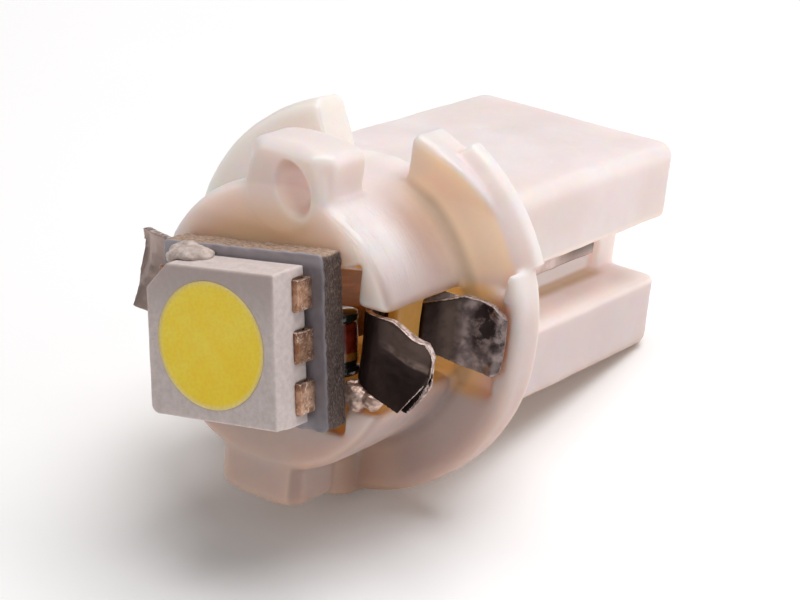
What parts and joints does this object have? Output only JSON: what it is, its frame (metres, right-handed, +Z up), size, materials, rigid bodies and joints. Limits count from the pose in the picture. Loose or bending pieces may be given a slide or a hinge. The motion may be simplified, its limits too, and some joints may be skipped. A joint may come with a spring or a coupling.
{
  "type": "twist lock panel led bulb",
  "caption": "Small twist-lock panel bulb: ivory moulded holder with flange and grip, two spring contacts and one square LED on a small board.",
  "frame": {"origin": "centre of the flange's front seat face", "axes": "as it lies at rest: +X horizontal towards the LED end, the bulb's own axis raised 12.2 degrees from +X towards +Z; +Y across the grip; +Z up"},
  "size_m": [0.0226, 0.0134, 0.0137],
  "materials": {
    "moulding": "milky, slightly translucent, soft satin",
    "contact_metal": "tarnished tinned strip",
    "board": "blue-grey faces, speckled cut edges",
    "led_white": "satin white",
    "phosphor": "smooth silicone",
    "die": "satin",
    "lead_metal": "bright, slightly stained",
    "diode_glass": "glossy",
    "chip": "satin",
    "solder": "dull, grainy",
    "flux": "cloudy, glossy"
  },
  "bodies": {
    "root": {"base_body": "moulding", "contact_right": "contact_metal", "contact_left": "contact_metal", "led_board": "board", "led_housing": "led_white", "phosphor_lens": "phosphor", "led_die_1": "die", "led_die_2": "die", "led_die_3": "die", "led_lead_1": "lead_metal", "led_lead_2": "lead_metal", "led_lead_3": "lead_metal", "led_lead_4": "lead_metal", "led_lead_5": "lead_metal", "led_lead_6": "lead_metal", "wedge_board": "board", "diode": "diode_glass", "chip_resistor": "chip", "solder_right": "solder", "solder_left": "solder", "solder_wedge_upper": "solder", "solder_wedge_lower": "solder", "flux_lump": "flux"}
  },
  "joints": []
}
